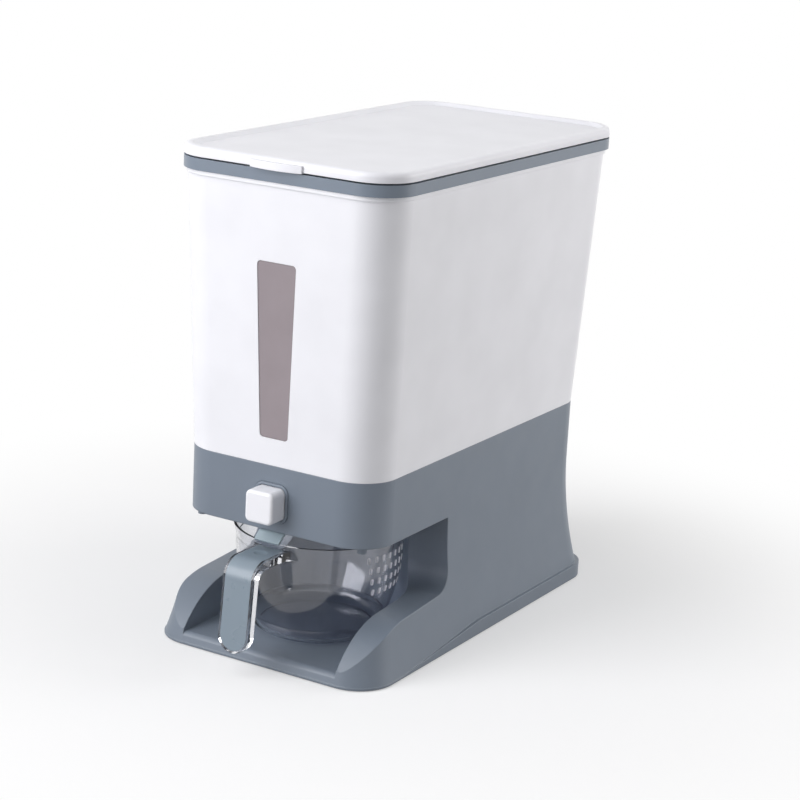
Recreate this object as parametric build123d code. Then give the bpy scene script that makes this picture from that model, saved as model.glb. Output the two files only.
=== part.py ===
from build123d import *
import math
import os

# Rice dispenser: a white hopper with a hinged lid stands on a grey base. Pressing the button slides a gate
# open above a clear cup, and the cup is pulled out of the base by its handle to carry the rice away.
# Millimetres, +Z up, the front faces -Y. Each piece is drawn with y = 0 midway between the foot's front
# edge and the hinge. save() then moves all of them to the centre of the whole outline, cup handle included.

os.makedirs("parts", exist_ok=True)

# ---- driving dimensions -------------------------------------------------------------------------------

# base housing
seam_z = 150.0            # where the white hopper meets the grey base
seam_w = 169.0
seam_front = 165.3        # distance of the front wall ahead of y = 0
seam_rear = 160.7
corner_r = 30.0
base_wall = 3.0
foot_lift = 0.8           # the rim stands this far off the table, on its rubber feet
flare_h = 105.0           # the walls are upright above this height and flare out below it
flare_side = 13.8         # how far the foot stands out at the sides, rear and front
flare_rear = 10.0
flare_front = 12.9
header_z = 101.0          # underside of the header over the cup bay
window_rear_y = -55.0     # rear edge of the openings at the sides of the bay
window_corner_r = 17.0
wing_z = 44.4             # top of the side walls beside the cup
wing_front_z = 41.0       # where they start to fall away to the front
wing_fall_y = -124.0
wing_mid_z = 32.3         # a point on the falling curve
wing_mid_y = -152.0
bay_half_w = 67.3
tray_z = 10.0             # top of the tray floor
tray_t = 2.5
apron_y = -174.6          # front edge of the tray floor
front_edge_r = 5.0        # rounding along the front edge of the tray
band_h = 12.0             # raised band round the foot, lower towards the front
band_low_h = 2.5
band_fall_y0 = -20.0
band_fall_y1 = -130.0
deck_ledge_w = 5.0        # ledge inside the header that carries the deck
deck_ledge_t = 1.4
deck_t = 1.6
deck_screw_x = 70.0       # front and rear pairs of deck screws
deck_screw_y = -152.0
deck_rear_screw_x = 76.0
deck_rear_screw_y = -49.6
tongue_h = 2.2            # lip that locates the hopper on the base
tongue_t = 1.6
rim_h = 7.0               # height of the thicker rim that carries the tongue
fit_gap = 0.2             # clearance between pieces that only locate each other
seat_gap = 0.05           # clearance round a screw, a foot or a pin in its seat

# hopper
hopper_wall = 2.5
hopper_top_z = 355.9
hopper_top_w = 183.0
hopper_top_front = 172.5
hopper_top_rear = 172.5
bead_h = 3.2              # slim lip round the hopper's mouth
bead_out = 1.2
outlet_w = 44.0
outlet_len = 20.0
outlet_y = -110.0
outlet_z = 115.6
throat_z = 121.0          # the slopes of the floor start here
floor_slope = 24.0
side_slope = 35.0
front_slope = 45.0
flange_w = 60.0
flange_len = 40.0
flange_t = 2.4

# sight window
window_z0 = 170.0
window_z1 = 299.0
window_w0 = 24.0
window_w1 = 33.0
window_r = 3.0
window_flange = 4.0
window_flange_t = 1.5
window_recess = 0.4

# rim ring, lid and hinge
ring_w = 188.0
ring_front = 174.6
ring_rear = 175.5
ring_h = 8.4
ring_t = 7.0
ring_lip_h = 9.0
lid_gap = 1.3
lid_h = 7.4
lid_t = 2.0
lid_edge_r = 4.0
skirt_t = 3.0
border_w = 6.0
border_slope_w = 2.8
panel_drop = 2.8
plug_gap = 2.0
plug_t = 2.0
plug_h = 7.0
seal_w = 4.5
seal_gap = 0.3            # the lid seal stands this far above the ring when the lid is closed
tab_w = 43.0
tab_out = 4.6
tab_h = 5.4
hinge_y = 174.8
hinge_z = 360.4
knuckle_r = 4.2
knuckle_w = 16.0
knuckle_gap = 0.4
hinge_x = 55.0
ear_w = 5.0
pin_r = 1.25
pin_gap = 0.05

# button and gate
button_w = 23.5
button_h = 24.2
button_z = 122.4
button_out = 17.2         # how far the button stands out of the header's face
button_wall = 1.8
button_edge_r = 4.4
button_front_r = 2.4
button_len = 24.0
button_gap = 0.4
guide_t = 2.0
guide_out = 1.2           # the guide's collar stands this far out of the header
stroke = 12.0
gate_t = 2.5
gate_z = 108.5
gate_w = 48.0
gate_gap = 0.1
gate_end_y = -92.0
slot_len = 12.0
slot_w = 40.0
back_t = 2.5
plug_len = 7.5
lip_w = 21.0
lip_t = 2.0
lip_drop_y = 8.2
lip_drop_z = 6.6
spring_r = 3.6
spring_wire = 0.9
spring_turns = 6
spring_post_r = 2.4
spring_post_len = 3.5

# chute
chute_w = 60.0
chute_front_y = -132.0
chute_rear_y = -84.0
chute_top_t = 2.5
spring_tab_y = -136.0
spring_tab_t = 3.0
spring_tab_w = 13.0
nozzle_wall = 2.0
nozzle_drop = 0.6
ear_len = 8.0
ear_t = 2.5
ear_y = 14.0
seal_t = 2.0
seal_border = 4.0
screw_r = 1.6
screw_head_r = 3.3
screw_head_t = 1.8
screw_len = 7.0
boss_wall = 1.8
boss_drop = 5.0

# hopper screws and feet
corner_boss_r = 4.5
corner_boss_in = 18.5
ledge_z = 139.5
ledge_t = 3.0
corner_size = 24.0
long_screw_len = 14.0
foot_r = 8.0
foot_in = 22.0
foot_t = 2.2
foot_web_t = 3.4

# cup
cup_y = -98.0
cup_rim_r = 65.4
cup_rim_z = 90.4
cup_upper_r = 63.0
cup_upper_z = 80.0
cup_mid_r = 60.4
cup_mid_z = 52.0
cup_lower_r = 51.6
cup_lower_z = 22.0
cup_foot_r = 44.0
cup_wall = 2.0
cup_seat_gap = 0.3
hole_rows = 4
hole_columns = 7
hole_top_z = 78.6
hole_pitch_z = 8.8
hole_pitch_deg = 6.8
hole_first_deg = -22.0
hole_skew_deg = 2.2
hole_w = 2.2
hole_h = 5.0
handle_w = 26.0
handle_t = 7.0
handle_top_z = 87.2
handle_reach = 209.5      # furthest point of the handle ahead of y = 0
handle_lean = 5.0         # how far the grip leans out between its bend and its foot
handle_bend_r = 15.0
handle_foot_z = 20.0
flare_w = 42.0            # the handle widens to this at the cup's wall
flare_len = 17.0
dimple_y = -177.0         # thumb hollow in the handle's cover
dimple_r = 16.0
dimple_depth = 0.8
cover_w = 22.4
cover_t = 1.6
cover_gap = 0.1

# ---- sizes that follow ---------------------------------------------------------------------------------

datum_shift = (handle_reach - hinge_y - knuckle_r) / 2
seam_mid = (seam_rear - seam_front) / 2
seam_d = seam_rear + seam_front
hopper_top_mid = (hopper_top_rear - hopper_top_front) / 2
hopper_top_d = hopper_top_rear + hopper_top_front
ring_mid = (ring_rear - ring_front) / 2
ring_d = ring_rear + ring_front
ring_z1 = hopper_top_z + ring_h
lid_z0 = ring_z1 + lid_gap
lid_z1 = lid_z0 + lid_h
ledge_top = header_z + deck_ledge_t
deck_z1 = ledge_top + deck_t
gate_top = gate_z + gate_t
chute_top = gate_top + gate_gap + chute_top_t
button_z0 = button_z - button_h / 2
button_front_y = -seam_front - button_out
button_rear_y = button_front_y + button_len
header_in_y = -seam_front + base_wall
far = 600.0


def save(name, *solids):
    """Move one piece to the common datum and write its file."""
    group = solids[0] if len(solids) == 1 else Compound(children=list(solids))
    export_step(Pos(0, datum_shift, 0) * group, f"parts/{name}.step")


def block(x0, x1, y0, y1, z0, z1):
    """A box between two corners."""
    return Pos((x0 + x1) / 2, (y0 + y1) / 2, (z0 + z1) / 2) * Box(x1 - x0, y1 - y0, z1 - z0)


def slab(width, depth, mid, radius, z0, z1):
    """An upright plate with rounded corners."""
    return extrude(Pos(0, mid, z0) * RectangleRounded(width, depth, radius), z1 - z0)


def side_profile(points, half_width):
    """A closed outline in the YZ plane, carried across the part in X."""
    face = make_face(Polyline(*[(0, y, z) for y, z in points], close=True))
    return extrude(face, half_width, dir=(1, 0, 0), both=True)


def rod_x(x0, x1, y, z, radius):
    """A round bar along X."""
    return Pos((x0 + x1) / 2, y, z) * Rot(0, 90, 0) * Cylinder(radius, x1 - x0)


def rod_y(y0, y1, x, z, radius):
    """A round bar along Y."""
    return Pos(x, (y0 + y1) / 2, z) * Rot(90, 0, 0) * Cylinder(radius, y1 - y0)


def rod_z(z0, z1, x, y, radius):
    """An upright round bar."""
    return Pos(x, y, (z0 + z1) / 2) * Cylinder(radius, z1 - z0)


# ---- base housing --------------------------------------------------------------------------------------


def base_section(z, inset):
    """The base's outline at one height, flared like a parabola below flare_h."""
    part_way = max(0.0, 1.0 - z / flare_h) ** 2
    rear = seam_rear + flare_rear * part_way - inset
    front = seam_front + flare_front * part_way - inset
    width = seam_w + 2 * (flare_side * part_way - inset)
    return Pos(0, (rear - front) / 2, z) * RectangleRounded(width, rear + front, corner_r - inset)


def base_envelope(inset):
    """The flared foot and the upright walls, as one block."""
    steps = 5
    heights = [foot_lift + (flare_h - foot_lift) * i / steps for i in range(steps + 1)]
    foot = loft([base_section(z, inset) for z in heights])
    upright = extrude(base_section(flare_h, inset), seam_z - flare_h)
    return foot + upright


def side_window(grow):
    """The air beside and under the header: one outline in YZ, cut right across."""
    top = header_z + grow
    rear = window_rear_y + grow
    low = wing_z - grow
    radius = window_corner_r + grow
    start = (0, -far, top)
    corner_top = (0, rear, low + radius)
    corner_mid = (0, rear - radius * (1 - math.sqrt(0.5)), low + radius * (1 - math.sqrt(0.5)))
    corner_low = (0, rear - radius, low)
    fall = (0, wing_fall_y + grow / 4, wing_front_z - grow)
    fall_mid = (0, wing_mid_y + grow * 0.6, wing_mid_z - grow * 0.8)
    fall_end = (0, apron_y + grow * 0.6, tray_z + tray_t - grow)
    edges = Polyline(start, (0, rear, top), corner_top)
    edges += ThreePointArc(corner_top, corner_mid, corner_low)
    edges += Line(corner_low, fall)
    edges += ThreePointArc(fall, fall_mid, fall_end)
    edges += Polyline(fall_end, (0, -far, tray_z + tray_t - grow), start)
    return extrude(make_face(edges), seam_w, dir=(1, 0, 0), both=True)


def cup_bay(grow):
    """The pocket the cup stands in, round at the back."""
    half = bay_half_w + grow
    z0 = tray_z - (tray_t if grow else 0.0)
    height = header_z + grow - z0
    room = Pos(0, cup_y, z0) * extrude(Circle(half), height)
    lane = block(-half, half, -far, cup_y, z0, z0 + height)
    return room + lane


def foot_band():
    """The raised band round the bottom edge: upright, full height at the rear, slim at the front."""
    prism = extrude(base_section(foot_lift, 0), band_h - foot_lift)
    under = [(-far, 0), (far, 0), (far, band_h), (band_fall_y0, band_h), (band_fall_y1, band_low_h),
             (-far, band_low_h)]
    return prism & side_profile(under, far)


def bay_lining(grow):
    """The walls round the openings and the bay, up to the ledge that carries the deck."""
    return (side_window(grow) + cup_bay(grow)) & block(-far, far, -far, far, 0, ledge_top)


def deck_outline(inset, z0, z1):
    """The plate that closes the header, following the header's walls and the round back of the bay."""
    rear = window_rear_y + base_wall - inset
    walls = slab(seam_w - 2 * (base_wall + inset), seam_d - 2 * (base_wall + inset), seam_mid,
                 corner_r - base_wall - inset, z0, z1)
    front = walls & block(-far, far, -far, rear, z0, z1)
    back = rod_z(z0, z1, 0, cup_y, bay_half_w + base_wall - inset)
    return front + (back & block(-far, far, cup_y, far, z0, z1))


def deck_screw_places():
    """Centres of the four screws that hold the deck to the base."""
    front = [(sx * deck_screw_x, deck_screw_y) for sx in (-1, 1)]
    return front + [(sx * deck_rear_screw_x, deck_rear_screw_y) for sx in (-1, 1)]


def make_base():
    outer = base_envelope(0) + foot_band()
    inner = base_envelope(base_wall)
    air = side_window(0) + cup_bay(0)
    body = (outer - inner) + (inner & bay_lining(base_wall)) - air
    body -= deck_outline(deck_ledge_w, header_z, ledge_top)
    for x, y in deck_screw_places():
        body += rod_z(header_z - boss_drop, ledge_top, x, y, screw_r + boss_wall)
        body -= rod_z(header_z - boss_drop, ledge_top, x, y, screw_r + seat_gap)

    # the front edge of the tray, rounded over
    edge_y = -seam_front - flare_front * (1 - (tray_z - front_edge_r) / flare_h) ** 2 + front_edge_r
    edge_z = tray_z - front_edge_r
    corner = block(-bay_half_w, bay_half_w, -far, edge_y, edge_z, tray_z)
    body -= corner - rod_x(-bay_half_w, bay_half_w, edge_y, edge_z, front_edge_r)

    # top rim, with the tongue that the hopper's skirt fits over
    tongue_in = hopper_wall + fit_gap
    rim_in = tongue_in + tongue_t
    rim_z0 = seam_z - rim_h
    band = slab(seam_w - 2, seam_d - 2, seam_mid, corner_r - 1, rim_z0, seam_z)
    tongue = slab(seam_w - 2 * tongue_in, seam_d - 2 * tongue_in, seam_mid, corner_r - tongue_in,
                  seam_z, seam_z + tongue_h)
    bore = slab(seam_w - 2 * rim_in, seam_d - 2 * rim_in, seam_mid, corner_r - rim_in,
                rim_z0, seam_z + tongue_h)
    body += (band + tongue) - bore

    # corner ledges for the hopper screws and corner webs for the feet
    for sx in (-1, 1):
        for sy in (-1, 1):
            ledge_x = sx * (seam_w / 2 - corner_boss_in)
            ledge_y = seam_mid + sy * (seam_d / 2 - corner_boss_in)
            reach = corner_size * 2
            corner = Pos(sx * seam_w / 2, seam_mid + sy * seam_d / 2, ledge_z + ledge_t / 2)
            ledge = (corner * Box(reach, reach, ledge_t)) & inner
            body += ledge - rod_z(ledge_z, ledge_z + ledge_t, ledge_x, ledge_y, screw_r + 2 * fit_gap)
            foot_x, foot_y = foot_place(sx, sy)
            web_z1 = foot_lift + foot_web_t
            web = block(min(foot_x, sx * far), max(foot_x, sx * far), min(foot_y, sy * far),
                        max(foot_y, sy * far), foot_lift, web_z1) & inner
            disc = rod_z(foot_lift, web_z1, foot_x, foot_y, foot_r + 3) & inner
            body += (web + disc) - rod_z(0, foot_t, foot_x, foot_y, foot_r + seat_gap)

    # header front: opening for the button guide, and the way out for the gate's lip
    body -= guide_block(guide_t, -seam_front, header_in_y)
    body -= lip_way(header_z, ledge_top)
    return body


def foot_place(sx, sy):
    """Centre of one rubber foot."""
    side = seam_w / 2 + flare_side - foot_in
    rear = seam_rear + flare_rear - foot_in
    front = seam_front + flare_front - foot_in
    return sx * side, (rear if sy > 0 else -front)


def chute_screw_places():
    """Centres of the four screws that hold the chute to the deck."""
    mid_y = (chute_front_y + chute_rear_y) / 2
    x = chute_w / 2 + ear_len / 2
    return [(sx * x, mid_y + sy * ear_y) for sx in (-1, 1) for sy in (-1, 1)]


def hopper_screw_places():
    """Centres of the four screws that hold the hopper to the base."""
    x = seam_w / 2 - corner_boss_in
    y = seam_d / 2 - corner_boss_in
    return [(sx * x, seam_mid + sy * y) for sx in (-1, 1) for sy in (-1, 1)]


def guide_block(grow, y0, y1):
    """A rounded square bar along Y, the button's clearance grown by a wall."""
    side = button_w + 2 * (button_gap + grow)
    height = button_h + 2 * (button_gap + grow)
    outline = Plane(origin=(0, y1, button_z), x_dir=(1, 0, 0), z_dir=(0, -1, 0)) * RectangleRounded(
        side, height, button_edge_r + button_gap + grow)
    return extrude(outline, y1 - y0)


def lip_way(z0, z1):
    """The slot through which the gate's lip drops and travels."""
    half = lip_w / 2 + 2 * button_gap
    return block(-half, half, header_in_y, button_rear_y + back_t + stroke + 2 * button_gap, z0, z1)


# ---- deck ----------------------------------------------------------------------------------------------


def make_deck():
    body = deck_outline(fit_gap, ledge_top, deck_z1)
    for x, y in deck_screw_places()[2:]:
        tab = screw_r + boss_wall
        body += rod_z(ledge_top, deck_z1, x, y, tab) + block(x - tab, x + tab, y - 2 * tab, y, ledge_top, deck_z1)
    for x, y in deck_screw_places():
        body -= rod_z(ledge_top, deck_z1, x, y, screw_r + fit_gap)

    # hole for the nozzle, slot for the gate's lip, bosses for the chute screws
    nozzle_w = slot_w + 2 * (nozzle_wall + fit_gap)
    nozzle_len = slot_len + 2 * (nozzle_wall + fit_gap)
    body -= block(-nozzle_w / 2, nozzle_w / 2, outlet_y - nozzle_len / 2, outlet_y + nozzle_len / 2,
                  ledge_top, deck_z1)
    body -= lip_way(ledge_top, deck_z1)
    for x, y in chute_screw_places():
        body += rod_z(header_z - boss_drop, ledge_top, x, y, screw_r + boss_wall)
        body -= rod_z(header_z - boss_drop, deck_z1, x, y, screw_r + seat_gap)
    return body


def make_deck_screws():
    return [rod_z(deck_z1 - screw_len, deck_z1, x, y, screw_r)
            + rod_z(deck_z1, deck_z1 + screw_head_t, x, y, screw_head_r)
            for x, y in deck_screw_places()]


# ---- hopper --------------------------------------------------------------------------------------------


def hopper_envelope(inset, z0, z1):
    """The tapered body between two heights, inset from the outside."""
    sections = []
    for z in (z0, z1):
        up = (z - seam_z) / (hopper_top_z - seam_z)
        width = seam_w + (hopper_top_w - seam_w) * up - 2 * inset
        front = seam_front + (hopper_top_front - seam_front) * up - inset
        rear = seam_rear + (hopper_top_rear - seam_rear) * up - inset
        place = Pos(0, (rear - front) / 2, z)
        sections.append(place * RectangleRounded(width, rear + front, corner_r - inset))
    return loft(sections)


def funnel(grow):
    """Everything above the sloping floors, grown downwards by a wall thickness."""
    top = hopper_top_z
    rise = top - throat_z
    half = outlet_w / 2 + grow
    front = outlet_y - outlet_len / 2 - grow
    rear = outlet_y + outlet_len / 2 + grow

    def low(angle):
        """How far a slope starts below the throat, so that the wall keeps its thickness."""
        tilt = math.radians(angle)
        return throat_z + grow * math.tan(tilt) - grow / math.cos(tilt)

    side_low = low(side_slope)
    side_run = (top - side_low) / math.tan(math.radians(side_slope))
    across = [(-half, outlet_z), (half, outlet_z), (half, side_low), (half + side_run, top),
              (-half - side_run, top), (-half, side_low)]
    face = make_face(Polyline(*[(x, 0, z) for x, z in across], close=True))
    trough = extrude(face, far, dir=(0, 1, 0), both=True)

    front_low = low(front_slope)
    rear_low = low(floor_slope)
    front_run = (top - front_low) / math.tan(math.radians(front_slope))
    rear_run = (top - rear_low) / math.tan(math.radians(floor_slope))
    along = [(front, outlet_z), (rear, outlet_z), (rear, rear_low), (rear + rear_run, top),
             (front - front_run, top), (front, front_low)]
    return trough & side_profile(along, far)


def window_plate(grow, t0, t1):
    """The sight window's tapered outline on the sloping front wall, between two depths below its face."""
    lean = (hopper_top_front - seam_front) / (hopper_top_z - seam_z)
    mid_z = (window_z0 + window_z1) / 2
    face_y = -(seam_front + lean * (mid_z - seam_z))
    front = Plane(origin=(0, face_y, mid_z), x_dir=(1, 0, 0), z_dir=(0, -1, -lean))
    half_h = (window_z1 - window_z0) / 2 * math.hypot(1, lean)
    low = [(-window_w0 / 2 - grow, -half_h - grow), (window_w0 / 2 + grow, -half_h - grow)]
    high = [(window_w1 / 2 + grow, half_h + grow), (-window_w1 / 2 - grow, half_h + grow)]
    outline = make_face(Polyline(*low, *high, close=True))
    outline = fillet(outline.vertices(), window_r + grow)
    return extrude(front.offset(-t1) * outline, t1 - t0)


def make_hopper():
    outer = hopper_envelope(0, seam_z, hopper_top_z)
    inner = hopper_envelope(hopper_wall, seam_z, hopper_top_z)
    walls = outer - inner
    liner = hopper_envelope(hopper_wall / 2, outlet_z, hopper_top_z)
    floors = (funnel(hopper_wall) & liner) - funnel(0)
    body = walls + floors

    # slim lip round the mouth
    bead = slab(hopper_top_w + 2 * bead_out, hopper_top_d + 2 * bead_out, hopper_top_mid,
                corner_r + bead_out, hopper_top_z - bead_h, hopper_top_z)
    body += bead - hopper_envelope(hopper_wall / 2, outlet_z, hopper_top_z)

    # outlet flange over the chute
    flange = slab(flange_w, flange_len, outlet_y, 3, outlet_z, outlet_z + flange_t)
    body += flange - block(-outlet_w / 2, outlet_w / 2, outlet_y - outlet_len / 2,
                           outlet_y + outlet_len / 2, outlet_z, outlet_z + flange_t)

    # screw bosses at the corners of the skirt, up to the underside of the floor
    for x, y in hopper_screw_places():
        boss = rod_z(ledge_z + ledge_t, hopper_top_z, x, y, corner_boss_r)
        body += boss - funnel(0)
        body -= rod_z(ledge_z + ledge_t, ledge_z + long_screw_len, x, y, screw_r + seat_gap)

    body -= window_plate(0, -1, hopper_wall + 1)
    return body


def make_sight_window():
    pane = window_plate(-cover_gap, window_recess, hopper_wall)
    flange = window_plate(window_flange, hopper_wall, hopper_wall + window_flange_t)
    return pane + flange


# ---- rim ring, lid and hinge -----------------------------------------------------------------------------


def make_rim_ring():
    bore_w = ring_w - 2 * ring_t
    bore_d = ring_d - 2 * ring_t
    bore_r = corner_r - ring_t
    lip_in = hopper_wall + fit_gap
    lip_z0 = hopper_top_z - ring_lip_h
    body = slab(ring_w, ring_d, ring_mid, corner_r, hopper_top_z, ring_z1)
    body += hopper_envelope(lip_in, lip_z0, hopper_top_z)
    for sx in (-1, 1):
        for side in (-1, 1):
            near = knuckle_w / 2 + knuckle_gap
            x = sx * hinge_x + side * (near + ear_w / 2)
            body += rod_x(x - ear_w / 2, x + ear_w / 2, hinge_y, hinge_z, knuckle_r)
    body -= slab(bore_w, bore_d, ring_mid, bore_r, lip_z0, ring_z1)
    for sx in (-1, 1):
        half = knuckle_w / 2 + knuckle_gap
        body -= block(sx * hinge_x - half, sx * hinge_x + half, hinge_y - knuckle_r - knuckle_gap,
                      ring_rear + far, hopper_top_z, ring_z1)
        body -= rod_x(sx * hinge_x - half - ear_w, sx * hinge_x + half + ear_w, hinge_y, hinge_z,
                      pin_r + seat_gap / 2)
    return body


def make_lid():
    # shell with a rounded top edge, then the sunken panel with its sloping border
    shell = slab(ring_w, ring_d, ring_mid, corner_r, lid_z0, lid_z1)
    shell = fillet(shell.faces().sort_by(Axis.Z)[-1].edges(), lid_edge_r)
    panel_z = lid_z1 - panel_drop
    rim_w = ring_w - 2 * border_w
    rim_d = ring_d - 2 * border_w
    rim_r = corner_r - border_w
    recess = loft([
        Pos(0, ring_mid, panel_z) * RectangleRounded(rim_w - 2 * border_slope_w,
                                                     rim_d - 2 * border_slope_w, rim_r - border_slope_w),
        Pos(0, ring_mid, lid_z1) * RectangleRounded(rim_w, rim_d, rim_r),
    ])
    hollow = slab(ring_w - 2 * skirt_t, ring_d - 2 * skirt_t, ring_mid, corner_r - skirt_t,
                  lid_z0, panel_z - lid_t)
    body = shell - recess - hollow

    # plug wall that drops inside the ring
    plug_w = ring_w - 2 * (ring_t + plug_gap)
    plug_d = ring_d - 2 * (ring_t + plug_gap)
    plug_r = corner_r - ring_t - plug_gap
    plug_z0 = ring_z1 - plug_h
    plug = slab(plug_w, plug_d, ring_mid, plug_r, plug_z0, panel_z - lid_t)
    plug -= slab(plug_w - 2 * plug_t, plug_d - 2 * plug_t, ring_mid, plug_r - plug_t,
                 plug_z0, panel_z - lid_t)
    body += plug

    # finger tab, bowed outwards
    tab_z0 = lid_z0 - lid_gap / 2
    tab_edges = Line((-tab_w / 2, -ring_front + skirt_t, tab_z0), (tab_w / 2, -ring_front + skirt_t, tab_z0))
    tab_edges += Line((tab_w / 2, -ring_front + skirt_t, tab_z0), (tab_w / 2, -ring_front - tab_out / 3, tab_z0))
    tab_edges += ThreePointArc((tab_w / 2, -ring_front - tab_out / 3, tab_z0),
                               (0, -ring_front - tab_out, tab_z0),
                               (-tab_w / 2, -ring_front - tab_out / 3, tab_z0))
    tab_edges += Line((-tab_w / 2, -ring_front - tab_out / 3, tab_z0), (-tab_w / 2, -ring_front + skirt_t, tab_z0))
    tab = extrude(make_face(tab_edges), tab_h, dir=(0, 0, 1))
    body += tab

    # hinge knuckles under the rear edge
    for sx in (-1, 1):
        x0 = sx * hinge_x - knuckle_w / 2
        x1 = sx * hinge_x + knuckle_w / 2
        arm = block(x0, x1, ring_rear - skirt_t, ring_rear + knuckle_r / 3, hinge_z, lid_z0 + lid_t)
        body += rod_x(x0, x1, hinge_y, hinge_z, knuckle_r) + arm
        body -= rod_x(x0, x1, hinge_y, hinge_z, pin_r + pin_gap)
    return body


def make_lid_seal():
    inside = ring_t + plug_gap
    z0 = ring_z1 + seal_gap
    z1 = lid_z1 - panel_drop - lid_t
    seal = slab(ring_w - 2 * (inside - seal_w), ring_d - 2 * (inside - seal_w), ring_mid,
                corner_r - inside + seal_w, z0, z1)
    return seal - slab(ring_w - 2 * inside, ring_d - 2 * inside, ring_mid, corner_r - inside, z0, z1)


def make_hinge_pins():
    half = knuckle_w / 2 + knuckle_gap + ear_w
    return [rod_x(sx * hinge_x - half, sx * hinge_x + half, hinge_y, hinge_z, pin_r) for sx in (-1, 1)]


# ---- button, gate and spring ------------------------------------------------------------------------------


def make_button():
    cap = block(-button_w / 2, button_w / 2, button_front_y, button_rear_y, button_z0, button_z0 + button_h)
    cap = fillet(cap.edges().filter_by(Axis.Y), button_edge_r)
    cap = fillet(cap.faces().sort_by(Axis.Y)[0].edges(), button_front_r)
    inside = block(-button_w / 2 + button_wall, button_w / 2 - button_wall, button_front_y + button_wall * 2,
                   button_rear_y, button_z0 + button_wall, button_z0 + button_h - button_wall)
    inside = fillet(inside.edges().filter_by(Axis.Y), button_edge_r - button_wall)
    return cap - inside


def make_button_guide():
    # collar in front of the header, and a flange behind it that stops the sleeve
    collar = guide_block(guide_t, -seam_front - guide_out, header_in_y)
    collar = fillet(collar.faces().sort_by(Axis.Y)[0].edges(), guide_out * 0.8)
    flange = guide_block(2 * guide_t, header_in_y, header_in_y + guide_t)
    flange = flange & block(-far, far, -far, far, deck_z1, far)
    return collar + flange - guide_block(0, -seam_front - guide_out, header_in_y + guide_t)


def make_gate_slide():
    # flat gate with its own opening, which reaches the chute's slot at full stroke
    y0 = button_rear_y
    body = block(-gate_w / 2, gate_w / 2, y0 + back_t, gate_end_y, gate_z, gate_top)
    body -= block(-slot_w / 2, slot_w / 2, outlet_y - slot_len / 2 - stroke, outlet_y + slot_len / 2 - stroke,
                  gate_z, gate_top)

    # upright back plate behind the button, with the plug that the button snaps over
    back_w = button_w - button_wall / 2
    body += block(-back_w / 2, back_w / 2, y0, y0 + back_t, gate_z, button_z0 + button_h - button_wall / 2)
    plug_x = button_w / 2 - button_wall - cover_gap
    plug_z = button_h / 2 - button_wall - cover_gap
    plug = block(-plug_x, plug_x, y0 - plug_len, y0, button_z - plug_z, button_z + plug_z)
    plug = chamfer(plug.edges().filter_by(Axis.Y), button_edge_r / 2)
    body += plug

    # lip that shows under the header: it drops through the deck and slopes forward
    slope = math.atan2(lip_drop_z, lip_drop_y)
    inner_y = header_in_y
    inner_z = header_z - fit_gap
    tip_y = inner_y - lip_drop_y
    tip_z = inner_z - lip_drop_z
    low_y = tip_y + lip_t * math.sin(slope)
    low_z = tip_z - lip_t * math.cos(slope)
    rear_y = y0 + back_t
    lip = [
        (rear_y, gate_z),
        (rear_y, low_z + (rear_y - low_y) * math.tan(slope)),
        (low_y, low_z),
        (tip_y, tip_z),
        (y0, inner_z + (y0 - inner_y) * math.tan(slope)),
        (y0, gate_z),
    ]
    body += side_profile(lip, lip_w / 2)

    # spring post
    body += rod_y(y0 + back_t, y0 + back_t + spring_post_len, 0, button_z, spring_post_r)
    return body


def make_button_spring():
    y0 = button_rear_y + back_t
    length = spring_tab_y - y0
    pitch = (length - spring_wire) / spring_turns
    coil = Helix(pitch, length - spring_wire, spring_r)
    start = Plane(origin=coil @ 0, z_dir=coil % 0)
    wire = sweep(start * Circle(spring_wire / 2), path=coil)
    return Pos(0, y0 + spring_wire / 2, button_z) * Rot(-90, 0, 0) * wire


def make_chute():
    # block on the deck with the gate's channel and the rice slot through it
    half = chute_w / 2
    body = block(-half, half, chute_front_y, chute_rear_y, deck_z1, chute_top)
    channel = gate_w / 2 + gate_gap
    body -= block(-channel, channel, chute_front_y, chute_rear_y, gate_z - gate_gap, gate_top + gate_gap)
    nozzle_x = slot_w / 2 + nozzle_wall
    nozzle_y = slot_len / 2 + nozzle_wall
    body += block(-nozzle_x, nozzle_x, outlet_y - nozzle_y, outlet_y + nozzle_y, header_z - nozzle_drop, deck_z1)
    body -= block(-slot_w / 2, slot_w / 2, outlet_y - slot_len / 2, outlet_y + slot_len / 2,
                  header_z - nozzle_drop, chute_top)

    # stop for the spring, standing on the front edge of the top
    tab_x = spring_tab_w / 2
    tab_z1 = button_z + spring_r + spring_wire
    tab_z0 = gate_top + gate_gap
    body += block(-tab_x, tab_x, spring_tab_y, spring_tab_y + spring_tab_t, tab_z0, tab_z1)
    body += block(-tab_x, tab_x, spring_tab_y, chute_front_y, tab_z0, chute_top)
    body += rod_y(spring_tab_y - spring_post_len, spring_tab_y, 0, button_z, spring_post_r)

    # screw ears
    for x, y in chute_screw_places():
        side = math.copysign(1, x)
        ear = block(min(side * half, x), max(side * half, x), y - ear_len / 2, y + ear_len / 2,
                    deck_z1, deck_z1 + ear_t)
        body += ear + rod_z(deck_z1, deck_z1 + ear_t, x, y, ear_len / 2)
        body -= rod_z(deck_z1, deck_z1 + ear_t, x, y, screw_r + fit_gap)
    return body


def make_outlet_seal():
    z0 = outlet_z - seal_t
    ring = slab(outlet_w + 2 * seal_border, outlet_len + 2 * seal_border, outlet_y, 2, z0, outlet_z)
    return ring - block(-outlet_w / 2, outlet_w / 2, outlet_y - outlet_len / 2, outlet_y + outlet_len / 2,
                        z0, outlet_z)


def make_chute_screws():
    z = deck_z1 + ear_t
    return [rod_z(z - screw_len, z, x, y, screw_r) + rod_z(z, z + screw_head_t, x, y, screw_head_r)
            for x, y in chute_screw_places()]


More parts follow.
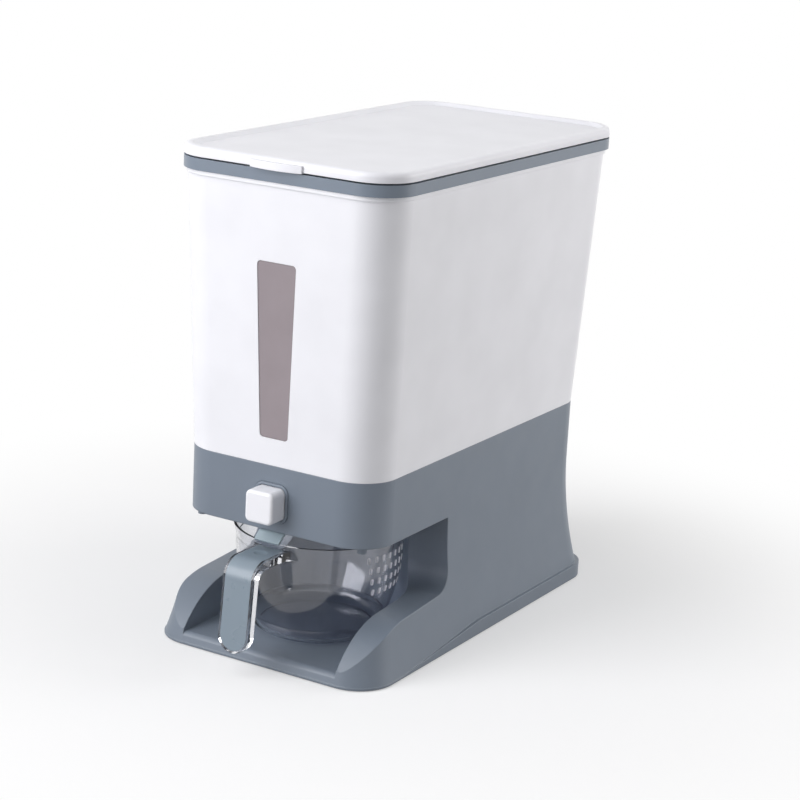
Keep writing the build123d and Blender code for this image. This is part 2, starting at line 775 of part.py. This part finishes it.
def make_hopper_screws():
    return [rod_z(ledge_z, ledge_z + long_screw_len, x, y, screw_r)
            + rod_z(ledge_z - screw_head_t, ledge_z, x, y, screw_head_r)
            for x, y in hopper_screw_places()]


def make_feet():
    return [rod_z(0, foot_t, *foot_place(sx, sy), foot_r) for sx in (-1, 1) for sy in (-1, 1)]


# ---- cup -----------------------------------------------------------------------------------------------


def cup_side(inset):
    """The side of the cup in the XZ plane, from its foot to its rim."""
    foot_z = tray_z + cup_seat_gap + inset
    low = (cup_lower_r - inset, 0, cup_lower_z)
    mid = (cup_mid_r - inset, 0, cup_mid_z)
    high = (cup_upper_r - inset, 0, cup_upper_z)
    base = (cup_foot_r - inset, 0, foot_z)
    bulge = (cup_lower_r - inset - (cup_lower_r - cup_foot_r) * 0.22, 0, foot_z + (cup_lower_z - foot_z) * 0.36)
    return base, bulge, low, mid, high


def make_cup():
    base, bulge, low, mid, high = cup_side(0)
    rim_top = (cup_rim_r, 0, cup_rim_z)
    in_base, in_bulge, in_low, in_mid, in_high = cup_side(cup_wall)
    in_top = (cup_rim_r - cup_wall, 0, cup_rim_z)
    edges = Line((0, 0, base[2]), base)
    edges += ThreePointArc(base, bulge, low)
    edges += ThreePointArc(low, mid, high)
    edges += Polyline(high, rim_top, in_top, in_high)
    edges += ThreePointArc(in_high, in_mid, in_low)
    edges += ThreePointArc(in_low, in_bulge, in_base)
    edges += Polyline(in_base, (0, 0, in_base[2]), (0, 0, base[2]))
    bowl = revolve(make_face(edges), Axis.Z)
    bowl = Pos(0, cup_y, 0) * bowl

    # handle, without the part of it that would reach inside the bowl
    grip = handle_body(0, handle_t, handle_w / 2) + handle_flare()
    core_r = (cup_upper_r + cup_rim_r) / 2 - cup_wall * 0.65
    core = Pos(0, cup_y, 0) * extrude(Circle(core_r), far)
    body = bowl + (grip - core)
    body -= handle_body(0, cover_t, cover_w / 2)

    # strainer slots in the right-hand side
    for row in range(hole_rows):
        z = hole_top_z - row * hole_pitch_z
        for column in range(hole_columns):
            angle = hole_first_deg + column * hole_pitch_deg + row * hole_skew_deg
            slot = Plane.YZ * SlotOverall(hole_h, hole_w, rotation=90)
            cutter = extrude(slot, cup_rim_r)
            body -= Pos(0, cup_y, z) * Rot(0, 0, angle) * Pos(cup_foot_r, 0, 0) * cutter
    return body


def handle_body(t0, t1, half):
    """The strap of the handle between two depths below its outer face, with a rounded lower end."""
    top = handle_top_z
    front = -handle_reach
    root_y = cup_y - cup_upper_r + cup_wall

    def path(depth):
        bend = handle_bend_r - depth
        high = (0, root_y, top - depth)
        bend_in = (0, front + handle_lean + handle_bend_r, top - depth)
        bend_mid_y = front + handle_lean + handle_bend_r - bend * math.sqrt(0.5)
        bend_mid = (0, bend_mid_y, top - handle_bend_r + bend * math.sqrt(0.5))
        bend_out = (0, front + handle_lean + depth, top - handle_bend_r)
        foot = (0, front + depth, handle_foot_z)
        return high, bend_in, bend_mid, bend_out, foot

    outer = path(t0)
    inner = path(t1)
    edges = Line(outer[0], outer[1])
    edges += ThreePointArc(outer[1], outer[2], outer[3])
    edges += Polyline(outer[3], outer[4], inner[4], inner[3])
    edges += ThreePointArc(inner[3], inner[2], inner[1])
    edges += Polyline(inner[1], inner[0], outer[0])
    strap = extrude(make_face(edges), half, dir=(1, 0, 0), both=True)
    margin = handle_w / 2 - half
    mask = block(-half, half, -far, 0, handle_foot_z + handle_w / 2, far)
    mask += rod_y(-far, 0, 0, handle_foot_z + margin + half, half)
    return strap & mask


def handle_flare():
    """The root of the handle, which widens in two sweeps where it meets the bowl."""
    half = handle_w / 2
    wide = flare_w / 2
    wall_y = cup_y - math.sqrt(cup_upper_r ** 2 - wide ** 2)
    tip_y = wall_y - flare_len
    bow_x = half + (wide - half) * 0.22
    bow_y = tip_y + flare_len * 0.62
    edges = Line((-half, tip_y, 0), (half, tip_y, 0))
    edges += ThreePointArc((half, tip_y, 0), (bow_x, bow_y, 0), (wide, wall_y, 0))
    edges += Polyline((wide, wall_y, 0), (wide, cup_y, 0), (-wide, cup_y, 0), (-wide, wall_y, 0))
    edges += ThreePointArc((-wide, wall_y, 0), (-bow_x, bow_y, 0), (-half, tip_y, 0))
    return Pos(0, 0, handle_top_z - handle_t) * extrude(make_face(edges), handle_t)


def make_handle_cover():
    cover = handle_body(0, cover_t - cover_gap / 2, cover_w / 2 - cover_gap)
    cover -= Pos(0, dimple_y, handle_top_z + dimple_r - dimple_depth) * Sphere(dimple_r)
    rim_side = Pos(0, cup_y, 0) * extrude(Circle(cup_rim_r + cover_gap), far)
    return cover - rim_side


# ---- build ---------------------------------------------------------------------------------------------

save("base_housing", make_base())
save("rubber_feet", *make_feet())
save("deck", make_deck())
save("deck_screws", *make_deck_screws())
save("hopper", make_hopper())
save("sight_window", make_sight_window())
save("hopper_screws", *make_hopper_screws())
save("rim_ring", make_rim_ring())
save("hinge_pins", *make_hinge_pins())
save("lid", make_lid())
save("lid_seal", make_lid_seal())
save("button", make_button())
save("button_guide", make_button_guide())
save("gate_slide", make_gate_slide())
save("button_spring", make_button_spring())
save("chute", make_chute())
save("outlet_seal", make_outlet_seal())
save("chute_screws", *make_chute_screws())
save("cup", make_cup())
save("handle_cover", make_handle_cover())
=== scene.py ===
import math

import bpy
from mathutils import Matrix, Vector


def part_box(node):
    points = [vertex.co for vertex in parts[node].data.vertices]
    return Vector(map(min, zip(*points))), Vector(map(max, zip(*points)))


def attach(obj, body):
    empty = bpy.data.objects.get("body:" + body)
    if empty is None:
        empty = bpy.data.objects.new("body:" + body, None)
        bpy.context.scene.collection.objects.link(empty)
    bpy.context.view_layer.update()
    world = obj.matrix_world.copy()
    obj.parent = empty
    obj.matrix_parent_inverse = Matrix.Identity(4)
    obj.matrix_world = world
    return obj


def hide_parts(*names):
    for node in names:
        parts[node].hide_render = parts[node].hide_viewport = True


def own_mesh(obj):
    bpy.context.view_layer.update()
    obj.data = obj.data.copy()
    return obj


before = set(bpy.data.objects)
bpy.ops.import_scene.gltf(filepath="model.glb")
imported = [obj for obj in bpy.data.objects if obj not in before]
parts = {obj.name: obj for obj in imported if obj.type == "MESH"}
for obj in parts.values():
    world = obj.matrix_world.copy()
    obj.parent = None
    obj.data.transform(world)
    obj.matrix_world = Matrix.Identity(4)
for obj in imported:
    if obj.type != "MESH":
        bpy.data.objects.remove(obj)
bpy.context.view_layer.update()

# ---- Foot housing ---------------------------------------------------------------------------------------
# The foot, header, wings and cup bay are one injection moulding in slate-grey ABS. The tool was spark
# eroded to a fine satin, so the big faces give a soft broad sheen and the edges catch a thin light line.


def srgb(text):
    """One colour written as sRGB hex, turned to the linear values that a shader takes."""
    steps = [int(text[i:i + 2], 16) / 255 for i in (1, 3, 5)]
    return [c / 12.92 if c <= 0.04045 else ((c + 0.055) / 1.055) ** 2.4 for c in steps] + [1.0]


def add(tree, kind, inputs=None, **settings):
    """Adds one node. An input is fed from a value, or from the output of a node made before."""
    made = tree.nodes.new(kind)
    for name, value in settings.items():
        setattr(made, name, value)
    for socket, value in (inputs or {}).items():
        if isinstance(value, bpy.types.NodeSocket):
            tree.links.new(value, made.inputs[socket])
        else:
            made.inputs[socket].default_value = value
    return made


def new_material(name):
    """An empty material, with its node tree and its output node."""
    made = bpy.data.materials.new(name)
    made.use_nodes = True
    made.node_tree.nodes.clear()
    return made, made.node_tree, add(made.node_tree, "ShaderNodeOutputMaterial")


def give(material, *names):
    """Puts a material on CAD pieces."""
    for name in names:
        parts[name].data.materials.clear()
        parts[name].data.materials.append(material)


def moulded_plastic(name, tone, worn_tone, roughness, grain_mm, grain_depth_mm, edge_mm):
    """Moulded plastic: slight clouding of the pigment, a fine eroded grain, and edges rubbed paler."""
    material, tree, out = new_material(name)
    place = add(tree, "ShaderNodeTexCoord").outputs["Object"]
    # clouds of pigment, and a sheen that wanders over smaller patches, by no more than these shares
    cloud_mm, sheen_mm = 45, 18
    pigment_shift, sheen_shift = 0.025, 0.035
    cloud = add(tree, "ShaderNodeTexNoise", {"Vector": place, "Scale": 1000 / cloud_mm, "Detail": 2.0})
    sheen = add(tree, "ShaderNodeTexNoise", {"Vector": place, "Scale": 1000 / sheen_mm, "Detail": 5.0})
    # the eroded grain is about 0.1 mm on the real piece, and is drawn coarser so that it shows
    grain = add(tree, "ShaderNodeTexNoise", {"Vector": place, "Scale": 1000 / grain_mm, "Detail": 2.0})
    shift = add(tree, "ShaderNodeMapRange", {"Value": cloud.outputs["Fac"], "From Min": 0.3, "From Max": 0.7,
                                            "To Min": 1 - pigment_shift, "To Max": 1 + pigment_shift})
    clouded = add(tree, "ShaderNodeHueSaturation", {"Value": shift.outputs["Result"], "Color": srgb(tone)})
    soft_edge = add(tree, "ShaderNodeBevel", {"Radius": edge_mm / 1000}, samples=6)
    face = add(tree, "ShaderNodeNewGeometry")
    facing = add(tree, "ShaderNodeVectorMath", {0: soft_edge.outputs["Normal"], 1: face.outputs["Normal"]},
                 operation="DOT_PRODUCT")
    rub = add(tree, "ShaderNodeMapRange", {"Value": facing.outputs["Value"], "From Min": 0.995,
                                          "From Max": 0.8, "To Min": 0.0, "To Max": 0.55})
    patchy = add(tree, "ShaderNodeMath", {0: rub.outputs["Result"], 1: sheen.outputs["Fac"]},
                 operation="MULTIPLY")
    colour = add(tree, "ShaderNodeMix", {"Factor": patchy.outputs["Value"], "A": clouded.outputs["Color"],
                                         "B": srgb(worn_tone)}, data_type="RGBA")
    gloss = add(tree, "ShaderNodeMapRange", {"Value": sheen.outputs["Fac"], "From Min": 0.3, "From Max": 0.7,
                                            "To Min": roughness - sheen_shift,
                                            "To Max": roughness + sheen_shift})
    relief = add(tree, "ShaderNodeBump", {"Height": grain.outputs["Fac"], "Strength": 0.4,
                                          "Distance": grain_depth_mm / 1000,
                                          "Normal": soft_edge.outputs["Normal"]})
    skin = add(tree, "ShaderNodeBsdfPrincipled", {"Base Color": colour.outputs["Result"],
                                                  "Roughness": gloss.outputs["Result"], "IOR": 1.53,
                                                  "Normal": relief.outputs["Normal"]})
    tree.links.new(skin.outputs["BSDF"], out.inputs["Surface"])
    return material


slate_abs = moulded_plastic("slate_abs_eroded", "#737D89", "#97A1AC", 0.42, 0.7, 0.03, 1.2)
give(slate_abs, "base_housing", "deck", "button_guide", "chute")

# ---- Rubber feet ----------------------------------------------------------------------------------------
# Four discs of black nitrile rubber pressed into pockets under the foot. They are matt, with a dusty bloom
# on the face that stands on the worktop.

foot_rubber, tree, out = new_material("black_nitrile_rubber")
place = add(tree, "ShaderNodeTexCoord").outputs["Object"]
bloom_mm = 4
bloom = add(tree, "ShaderNodeTexNoise", {"Vector": place, "Scale": 1000 / bloom_mm, "Detail": 6.0})
dusty = add(tree, "ShaderNodeMix", {"Factor": bloom.outputs["Fac"], "A": srgb("#1D1E20"),
                                    "B": srgb("#34363A")}, data_type="RGBA")
pits = add(tree, "ShaderNodeBump", {"Height": bloom.outputs["Fac"], "Strength": 0.4, "Distance": 0.0001})
skin = add(tree, "ShaderNodeBsdfPrincipled", {"Base Color": dusty.outputs["Result"], "Roughness": 0.82,
                                              "IOR": 1.5, "Normal": pits.outputs["Normal"]})
tree.links.new(skin.outputs["BSDF"], out.inputs["Surface"])
give(foot_rubber, "rubber_feet")

# ---- Hopper ---------------------------------------------------------------------------------------------
# The container is moulded in white polypropylene with a smoother satin than the foot. It stands on the
# foot's rim and is held by four screws from below.

white_pp = moulded_plastic("white_polypropylene_satin", "#F3F3F6", "#F8F8FA", 0.34, 0.8, 0.015, 0.5)
give(white_pp, "hopper")

# ---- Sight window ---------------------------------------------------------------------------------------
# A tapered pane of smoked styrene let into the front wall. It is polished, and the white wall of the
# hopper glows through it as a warm grey.

smoked_pane, tree, out = new_material("smoked_styrene_polished")
place = add(tree, "ShaderNodeTexCoord").outputs["Object"]
haze_mm = 20
haze = add(tree, "ShaderNodeTexNoise", {"Vector": place, "Scale": 1000 / haze_mm, "Detail": 4.0})
tint = add(tree, "ShaderNodeMix", {"Factor": haze.outputs["Fac"], "A": srgb("#A5999D"),
                                   "B": srgb("#AFA3A7")}, data_type="RGBA")
# light leaves the pane at its cut edge, so a line along it looks darker; that darker line is painted shade,
# mixed into the pane's colour
edge_line_mm = 1.1
cut_edge = add(tree, "ShaderNodeBevel", {"Radius": edge_line_mm / 1000}, samples=6)
face = add(tree, "ShaderNodeNewGeometry")
facing = add(tree, "ShaderNodeVectorMath", {0: cut_edge.outputs["Normal"], 1: face.outputs["Normal"]},
             operation="DOT_PRODUCT")
painted_edge_shade = add(tree, "ShaderNodeMapRange", {"Value": facing.outputs["Value"], "From Min": 0.998,
                                       "From Max": 0.9, "To Min": 0.0, "To Max": 0.75})
tint_with_painted_edge_shade = add(tree, "ShaderNodeMix", {"Factor": painted_edge_shade.outputs["Result"], "A": tint.outputs["Result"],
                                    "B": srgb("#6E6668")}, data_type="RGBA")
dull = add(tree, "ShaderNodeMapRange", {"Value": haze.outputs["Fac"], "To Min": 0.16, "To Max": 0.26})
ripple = add(tree, "ShaderNodeBump", {"Height": haze.outputs["Fac"], "Strength": 0.1, "Distance": 0.0002})
skin = add(tree, "ShaderNodeBsdfPrincipled", {"Base Color": tint_with_painted_edge_shade.outputs["Result"], "IOR": 1.59,
                                              "Roughness": dull.outputs["Result"],
                                              "Transmission Weight": 0.25,
                                              "Normal": ripple.outputs["Normal"]})
tree.links.new(skin.outputs["BSDF"], out.inputs["Surface"])
give(smoked_pane, "sight_window")

# ---- Screws ---------------------------------------------------------------------------------------------
# Zinc-plated steel screws for plastic hold the hopper, the deck and the chute. The plating is bright, with
# a faint spangle and a bluish cast.

zinc_plate, tree, out = new_material("zinc_plated_steel")
place = add(tree, "ShaderNodeTexCoord").outputs["Object"]
spangle_mm = 0.8
spangle = add(tree, "ShaderNodeTexNoise", {"Vector": place, "Scale": 1000 / spangle_mm, "Detail": 3.0})
plate = add(tree, "ShaderNodeMix", {"Factor": spangle.outputs["Fac"], "A": srgb("#B4B8BC"),
                                    "B": srgb("#D0D3D6")}, data_type="RGBA")
dull = add(tree, "ShaderNodeMapRange", {"Value": spangle.outputs["Fac"], "To Min": 0.22, "To Max": 0.38})
relief = add(tree, "ShaderNodeBump", {"Height": spangle.outputs["Fac"], "Strength": 0.3,
                                      "Distance": 0.00003})
skin = add(tree, "ShaderNodeBsdfPrincipled", {"Base Color": plate.outputs["Result"], "Metallic": 1.0,
                                              "Roughness": dull.outputs["Result"],
                                              "Normal": relief.outputs["Normal"]})
tree.links.new(skin.outputs["BSDF"], out.inputs["Surface"])
give(zinc_plate, "hopper_screws", "chute_screws", "deck_screws")

# ---- Rim ring -------------------------------------------------------------------------------------------
# A slate-grey ABS ring snaps over the hopper's mouth and carries the hinge. Its tool was finer than the
# foot's, so it is a touch darker and glossier.

ring_abs = moulded_plastic("slate_abs_fine", "#77828F", "#98A2AE", 0.32, 0.6, 0.015, 0.4)
give(ring_abs, "rim_ring")

# ---- Hinge pins, spring ---------------------------------------------------------------------------------
# Ground steel pins carry the lid, and a coil of drawn spring wire pushes the button out. Both are bright
# steel: the pins have fine lines from the grinding wheel, and the wire is mottled and a little darker.

for name, node, dark, pale, grind in (
        ("ground_steel_pin", "hinge_pins", "#B9BABC", "#CFD0D2", (2500, 9000, 9000)),
        ("drawn_spring_wire", "button_spring", "#8F9194", "#B5B7BA", (4000, 4000, 4000))):
    steel, tree, out = new_material(name)
    place = add(tree, "ShaderNodeTexCoord").outputs["Object"]
    stretched = add(tree, "ShaderNodeMapping", {"Vector": place, "Scale": grind})
    lines = add(tree, "ShaderNodeTexNoise", {"Vector": stretched.outputs["Vector"], "Scale": 1.0,
                                             "Detail": 3.0})
    tone = add(tree, "ShaderNodeMix", {"Factor": lines.outputs["Fac"], "A": srgb(dark), "B": srgb(pale)},
               data_type="RGBA")
    dull = add(tree, "ShaderNodeMapRange", {"Value": lines.outputs["Fac"], "To Min": 0.18, "To Max": 0.34})
    relief = add(tree, "ShaderNodeBump", {"Height": lines.outputs["Fac"], "Strength": 0.25,
                                          "Distance": 0.00002})
    skin = add(tree, "ShaderNodeBsdfPrincipled", {"Base Color": tone.outputs["Result"], "Metallic": 1.0,
                                                  "Roughness": dull.outputs["Result"],
                                                  "Normal": relief.outputs["Normal"]})
    tree.links.new(skin.outputs["BSDF"], out.inputs["Surface"])
    give(steel, node)

# the coil is drawn once more as one closed wire, which lies between the gate and its stop
weld_gap = 0.000002
bpy.ops.object.select_all(action="DESELECT")
spring = parts["button_spring"].copy()
spring.data = spring.data.copy()
spring.name = "return_spring"
bpy.context.scene.collection.objects.link(spring)
bpy.context.view_layer.objects.active = spring
spring.select_set(True)
bpy.ops.object.mode_set(mode="EDIT")
bpy.ops.mesh.select_all(action="SELECT")
bpy.ops.mesh.remove_doubles(threshold=weld_gap)
bpy.ops.object.mode_set(mode="OBJECT")
bpy.ops.object.shade_smooth_by_angle(angle=math.radians(40))
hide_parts("button_spring")
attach(spring, "base")
low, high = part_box("button_spring")
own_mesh(spring)

# ---- Lid ------------------------------------------------------------------------------------------------
# The flip-up lid is moulded in the same white polypropylene and turns on the pins. Its tool was lapped
# smooth, so it has no grain, only the slight waviness of a flat moulding.

lid_pp = moulded_plastic("white_polypropylene_lid", "#F1F1F5", "#F7F7F9", 0.38, 7.0, 0.010, 0.6)
give(lid_pp, "lid")

# ---- Seals ----------------------------------------------------------------------------------------------
# The lid's seal and the gasket over the gate are loops moulded in milky silicone, soft and slightly
# see-through. Each is squeezed lightly between the two parts that it closes.

silicone, tree, out = new_material("milky_silicone")
place = add(tree, "ShaderNodeTexCoord").outputs["Object"]
milk_mm = 10
milk = add(tree, "ShaderNodeTexNoise", {"Vector": place, "Scale": 1000 / milk_mm, "Detail": 3.0})
tone = add(tree, "ShaderNodeMix", {"Factor": milk.outputs["Fac"], "A": srgb("#C9CCCE"), "B": srgb("#DADCDD")},
           data_type="RGBA")
dull = add(tree, "ShaderNodeMapRange", {"Value": milk.outputs["Fac"], "To Min": 0.42, "To Max": 0.55})
relief = add(tree, "ShaderNodeBump", {"Height": milk.outputs["Fac"], "Strength": 0.2, "Distance": 0.0001})
skin = add(tree, "ShaderNodeBsdfPrincipled", {"Base Color": tone.outputs["Result"], "IOR": 1.41,
                                              "Roughness": dull.outputs["Result"], "Subsurface Weight": 0.2,
                                              "Subsurface Scale": 0.002, "Normal": relief.outputs["Normal"]})
tree.links.new(skin.outputs["BSDF"], out.inputs["Surface"])
give(silicone, "lid_seal", "outlet_seal")

# ---- Button ---------------------------------------------------------------------------------------------
# The push button is a hollow cube moulded in white ABS from a polished tool, the glossiest white on the
# object. It is fixed to the front of the gate slide.

button_abs = moulded_plastic("white_abs_polished", "#F4F4F7", "#F9F9FB", 0.22, 0.9, 0.004, 0.5)
give(button_abs, "button")

# ---- Gate slide -----------------------------------------------------------------------------------------
# The gate that the button pushes is moulded in a paler, greener grey acetal, which slides without grease.
# Its front lip shows under the header.

gate_pom = moulded_plastic("pale_grey_acetal", "#A2B2B9", "#B4C1C7", 0.34, 0.7, 0.01, 0.5)
give(gate_pom, "gate_slide")

# ---- Cup ------------------------------------------------------------------------------------------------
# The cup and its handle are one moulding in clear, faintly smoky SAN from a polished tool. It has sharp
# highlights, the grey bay shows through it, and it stands loose on the tray.

clear_san, tree, out = new_material("clear_san_polished")
place = add(tree, "ShaderNodeTexCoord").outputs["Object"]
flow_mm, scuff_mm = 30, 6
flow = add(tree, "ShaderNodeTexNoise", {"Vector": place, "Scale": 1000 / flow_mm, "Detail": 2.0})
clarity = add(tree, "ShaderNodeMix", {"Factor": flow.outputs["Fac"], "A": srgb("#EDEEF2"),
                                      "B": srgb("#F4F5F8")}, data_type="RGBA")
scuff = add(tree, "ShaderNodeTexNoise", {"Vector": place, "Scale": 1000 / scuff_mm, "Detail": 8.0})
dull = add(tree, "ShaderNodeMapRange", {"Value": scuff.outputs["Fac"], "From Min": 0.4, "From Max": 0.8,
                                        "To Min": 0.02, "To Max": 0.09})
relief = add(tree, "ShaderNodeBump", {"Height": flow.outputs["Fac"], "Strength": 0.15, "Distance": 0.0004})
skin = add(tree, "ShaderNodeBsdfPrincipled", {"Base Color": clarity.outputs["Result"], "IOR": 1.57,
                                              "Roughness": dull.outputs["Result"], "Transmission Weight": 1.0,
                                              "Normal": relief.outputs["Normal"]})
# the softboxes shine on through the thin wall, so that the bay behind and below the cup stays lit
lets_through = add(tree, "ShaderNodeBsdfTransparent", {"Color": srgb("#E6E6EA")})
path = add(tree, "ShaderNodeLightPath")
wall = add(tree, "ShaderNodeMixShader", {0: path.outputs["Is Shadow Ray"], 1: skin.outputs["BSDF"],
                                         2: lets_through.outputs["BSDF"]})
tree.links.new(wall.outputs["Shader"], out.inputs["Surface"])
give(clear_san, "cup")

# the cut walls of the strainer slots came off a duller part of the tool, and scatter light
frosted, tree, out = new_material("clear_san_frosted")
place = add(tree, "ShaderNodeTexCoord").outputs["Object"]
frost_mm = 1.5
frost = add(tree, "ShaderNodeTexNoise", {"Vector": place, "Scale": 1000 / frost_mm, "Detail": 4.0})
tone = add(tree, "ShaderNodeMix", {"Factor": frost.outputs["Fac"], "A": srgb("#DFE0E6"),
                                   "B": srgb("#F4F4F8")}, data_type="RGBA")
dull = add(tree, "ShaderNodeMapRange", {"Value": frost.outputs["Fac"], "To Min": 0.35, "To Max": 0.55})
relief = add(tree, "ShaderNodeBump", {"Height": frost.outputs["Fac"], "Strength": 0.4, "Distance": 0.0001})
skin = add(tree, "ShaderNodeBsdfPrincipled", {"Base Color": tone.outputs["Result"], "IOR": 1.57,
                                              "Roughness": dull.outputs["Result"],
                                              "Transmission Weight": 0.35,
                                              "Normal": relief.outputs["Normal"]})
tree.links.new(skin.outputs["BSDF"], out.inputs["Surface"])
cup = parts["cup"]
cup.data.materials.append(frosted)
low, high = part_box("cup")
bowl_r = (high[0] - low[0]) / 2
bowl_y = high[1] - bowl_r
slots_x = 0.6 * bowl_r
slots_low, slots_high = 0.045, 0.084
for face in cup.data.polygons:
    spoke = Vector((face.center.x, face.center.y - bowl_y, 0.0))
    in_slots = spoke.x > slots_x and slots_low < face.center.z < slots_high
    if in_slots and abs(face.normal.dot(spoke.normalized())) < 0.6:
        face.material_index = 1

# ---- Handle insert --------------------------------------------------------------------------------------
# A strip moulded in slate-grey ABS lies on the clear handle, a little greener and smoother than the foot.
# It is pressed on from outside.

insert_abs = moulded_plastic("slate_abs_insert", "#84929D", "#A6B1BA", 0.30, 0.6, 0.008, 0.4)
give(insert_abs, "handle_cover")

# ---- Studio ---------------------------------------------------------------------------------------------
# A white paper floor under softboxes at the front left, over the front, and at the right rear. The wide gap
# between them leaves the upright corner nearest the camera in softer light.


def seen_directly(tree):
    """1 for what the camera sees straight, in a glossy face or through a clear one, and 0 for other light."""
    path = add(tree, "ShaderNodeLightPath")
    found = add(tree, "ShaderNodeMath", {0: path.outputs["Is Camera Ray"], 1: path.outputs["Is Glossy Ray"]},
                operation="MAXIMUM")
    found = add(tree, "ShaderNodeMath", {0: found.outputs["Value"], 1: path.outputs["Is Transmission Ray"]},
                operation="MAXIMUM")
    return found.outputs["Value"]


bpy.ops.object.select_all(action="DESELECT")
floor_side = 24.0
bpy.ops.mesh.primitive_plane_add(size=floor_side, location=(0, 0, 0))
floor = bpy.context.object
floor.name = "studio_floor"
paper, tree, out = new_material("white_paper_floor")
place = add(tree, "ShaderNodeTexCoord").outputs["Object"]
away = add(tree, "ShaderNodeVectorMath", {0: place}, operation="LENGTH")
# the paper keeps the object's shadow near it, and turns to plain white from here to there
shadow_ends, white_starts = 0.20, 0.55
fade = add(tree, "ShaderNodeMapRange", {"Value": away.outputs["Value"], "From Min": shadow_ends,
                                        "From Max": white_starts, "To Min": 0.35, "To Max": 1.0},
           interpolation_type="SMOOTHSTEP")
direct = seen_directly(tree)
seen = add(tree, "ShaderNodeMath", {0: fade.outputs["Result"], 1: direct}, operation="MULTIPLY")
paper_tone = add(tree, "ShaderNodeMix", {"Factor": direct, "A": srgb("#BEBEC0"), "B": srgb("#FDFDFD")},
                 data_type="RGBA")
sheet = add(tree, "ShaderNodeBsdfDiffuse", {"Color": paper_tone.outputs["Result"]})
bright = add(tree, "ShaderNodeEmission", {"Color": srgb("#FFFFFF"), "Strength": 1.0})
both = add(tree, "ShaderNodeMixShader", {0: seen.outputs["Value"], 1: sheet.outputs["BSDF"],
                                         2: bright.outputs["Emission"]})
tree.links.new(both.outputs["Shader"], out.inputs["Surface"])
floor.data.materials.append(paper)

softbox_side = 1.2
softbox_target = Vector((0.0, 0.0, 0.2))
for name, spot, watts, tint in (
        ("softbox_front_left", (-0.85, -1.50, 0.85), 22.3, (0.965, 0.965, 1.0)),
        ("softbox_over_front", (-0.35, -1.00, 1.75), 11.5, (0.98, 0.98, 1.0)),
        ("softbox_right_rear", (1.44, 1.13, 0.75), 18.2, (1.0, 0.99, 1.0)),
        ("softbox_over_rear", (0.10, 1.30, 1.50), 3.2, (1.0, 1.0, 1.0))):
    bpy.ops.object.light_add(type="AREA", location=spot)
    lamp = bpy.context.object
    lamp.name = name
    lamp.data.shape = "SQUARE"
    lamp.data.size = softbox_side
    lamp.data.energy = watts
    lamp.data.color = tint
    aim = softbox_target - Vector(spot)
    lamp.rotation_euler = aim.to_track_quat("-Z", "Y").to_euler()

# the room gives a weak even light, and is white where it is seen itself
room_light = 0.22
world = bpy.data.worlds.new("studio_room")
bpy.context.scene.world = world
world.use_nodes = True
tree = world.node_tree
tree.nodes.clear()
room = add(tree, "ShaderNodeBackground", {"Color": srgb("#FFFFFF"), "Strength": room_light})
white = add(tree, "ShaderNodeBackground", {"Color": srgb("#FFFFFF"), "Strength": 1.0})
mixed = add(tree, "ShaderNodeMixShader", {0: seen_directly(tree), 1: room.outputs["Background"],
                                          2: white.outputs["Background"]})
out = add(tree, "ShaderNodeOutputWorld")
tree.links.new(mixed.outputs["Shader"], out.inputs["Surface"])

# ---- Camera ---------------------------------------------------------------------------------------------
# The camera was solved from the object's outline in the photograph: a long lens, about 1.8 m away and 25 cm
# above the lid. Its axes are written as solved.

bpy.ops.object.camera_add()
camera = bpy.context.object
camera.name = "photo_camera"
right = (0.85315, 0.51911, 0.05157)
up = (-0.18032, 0.20070, 0.96291)
back = (0.48951, -0.83081, 0.26483)
stand = (0.847414, -1.414300, 0.621090)
turn = Matrix((right, up, back)).transposed().to_4x4()
camera.matrix_world = Matrix.Translation(stand) @ turn
camera.data.sensor_width = 36.0
camera.data.lens = 99.89
camera.data.clip_end = 100.0
bpy.context.scene.camera = camera
bpy.context.scene.view_settings.view_transform = "Standard"
